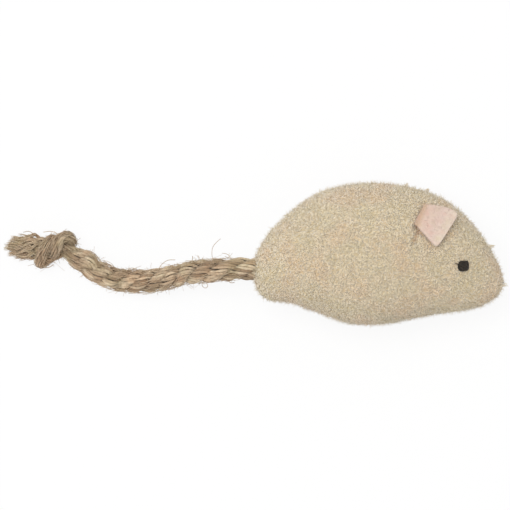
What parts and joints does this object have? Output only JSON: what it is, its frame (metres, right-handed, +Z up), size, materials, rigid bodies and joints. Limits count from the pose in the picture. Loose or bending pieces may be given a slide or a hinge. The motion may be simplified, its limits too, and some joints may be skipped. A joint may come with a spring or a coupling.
{
  "type": "catnip mouse toy",
  "caption": "Stuffed plush mouse cat toy lying on its flank, with felt ears that lift, thread eyes, a catnip-filled body and a knotted rope tail that swings at its root.",
  "frame": {"origin": "middle of the body's box, on the table that the left flank lies on", "axes": "+X to the nose, +Y to the back, +Z up out of the right flank"},
  "size_m": [0.1215, 0.0341, 0.0275],
  "materials": {
    "plush": "matte",
    "felt": "matte",
    "black_thread": "matte",
    "pale_thread": "matte",
    "jute_rope": "matte",
    "stuffing": "matte",
    "catnip": "matte"
  },
  "bodies": {
    "mouse_body": {"right_panel": "plush", "left_panel": "plush", "fibre_filling": "stuffing", "dried_catnip": "catnip", "seam_thread": "pale_thread", "closing_thread": "pale_thread", "tail_root": "jute_rope", "tail_stitch": "pale_thread", "right_eye": "black_thread", "left_eye": "black_thread", "eye_thread": "black_thread", "right_ear_stitch": "pale_thread", "left_ear_stitch": "pale_thread"},
    "right_ear": {"right_ear": "felt"},
    "left_ear": {"left_ear": "felt"},
    "tail": {"tail_rope": "jute_rope", "tail_knot": "jute_rope", "tail_tuft": "jute_rope"}
  },
  "joints": [
    {"name": "right_ear_flap", "type": "hinge", "parent": "mouse_body", "child": "right_ear", "pos_m": [0.0093, 0.00885, 0.02446], "axis": [-0.355, -0.7908, 0.4986], "range_deg": [0, 110], "stiffness_Nm_per_rad": 0.00002},
    {"name": "left_ear_flap", "type": "hinge", "parent": "mouse_body", "child": "left_ear", "pos_m": [0.0093, 0.00885, 0.00254], "axis": [0.355, 0.7908, 0.4986], "range_deg": [0, 110], "stiffness_Nm_per_rad": 0.00002},
    {"name": "tail_swing", "type": "hinge", "parent": "mouse_body", "child": "tail", "pos_m": [-0.0334, -0.0035, 0.0135], "axis": [0, 0, 1], "range_deg": [-60, 60]}
  ]
}
